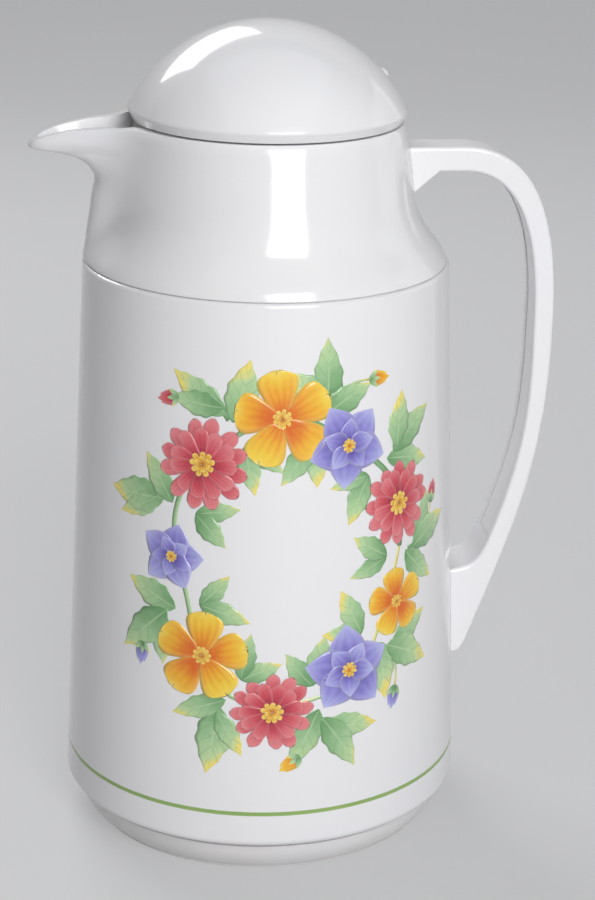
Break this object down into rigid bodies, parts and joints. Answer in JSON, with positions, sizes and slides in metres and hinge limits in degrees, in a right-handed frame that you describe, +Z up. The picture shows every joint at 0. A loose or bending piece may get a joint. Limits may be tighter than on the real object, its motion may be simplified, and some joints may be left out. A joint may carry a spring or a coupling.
{
  "type": "vacuum carafe",
  "caption": "White insulated serving carafe with a screw stopper under a domed lid, a beak spout, a strap handle and a flower print over a green ring.",
  "frame": {"origin": "middle of the base on the plane that the carafe stands on, on the axis of the body", "axes": "+Z up along the axis of body, flask and stopper; +X towards the handle, -X towards the spout"},
  "size_m": [0.1638, 0.127, 0.2565],
  "materials": {
    "lid_white": "smooth glossy moulded lid",
    "collar_white": "smooth glossy moulded shell",
    "handle_white": "smooth glossy moulded strap",
    "body_print": null,
    "base_white": "satin gloss moulded base",
    "neck_white": "satin moulded insert",
    "stopper_white": "satin moulded stopper",
    "silicone": "soft translucent white",
    "gasket_rubber": "matt rubber",
    "foam": "open insulating foam",
    "silvered_glass": "silvered vacuum glass",
    "spacer_pad": "pressed fibre pad",
    "screw_steel": "plain steel"
  },
  "bodies": {
    "carafe": {"collar_shell": "collar_white", "threaded_neck": "neck_white", "flask_gasket": "gasket_rubber", "flask_inner_glass": "silvered_glass", "flask_outer_glass": "silvered_glass", "flask_spacers": "spacer_pad", "flask_cushion": "gasket_rubber", "body_sleeve": "body_print", "base_cap": "base_white", "handle_shell": "handle_white", "handle_strip": "handle_white", "handle_screws": "screw_steel"},
    "seal": {"stopper_seal": "silicone"},
    "stopper": {"lid_dome": "lid_white", "stopper_body": "stopper_white", "stopper_plug": "stopper_white", "stopper_foam": "foam"}
  },
  "joints": [
    {"name": "stopper_lift", "type": "slide", "parent": "carafe", "child": "seal", "axis": [0, 0, 1], "range_m": [0, 0.0121]},
    {"name": "stopper_turn", "type": "hinge", "parent": "seal", "child": "stopper", "pos_m": [0, 0, 0.216], "axis": [0, 0, 1], "range_deg": [0, 540]}
  ],
  "couplings": [
    {"joint": "stopper_lift", "follows": "stopper_turn", "m_per_rad": 0.0012732}
  ]
}
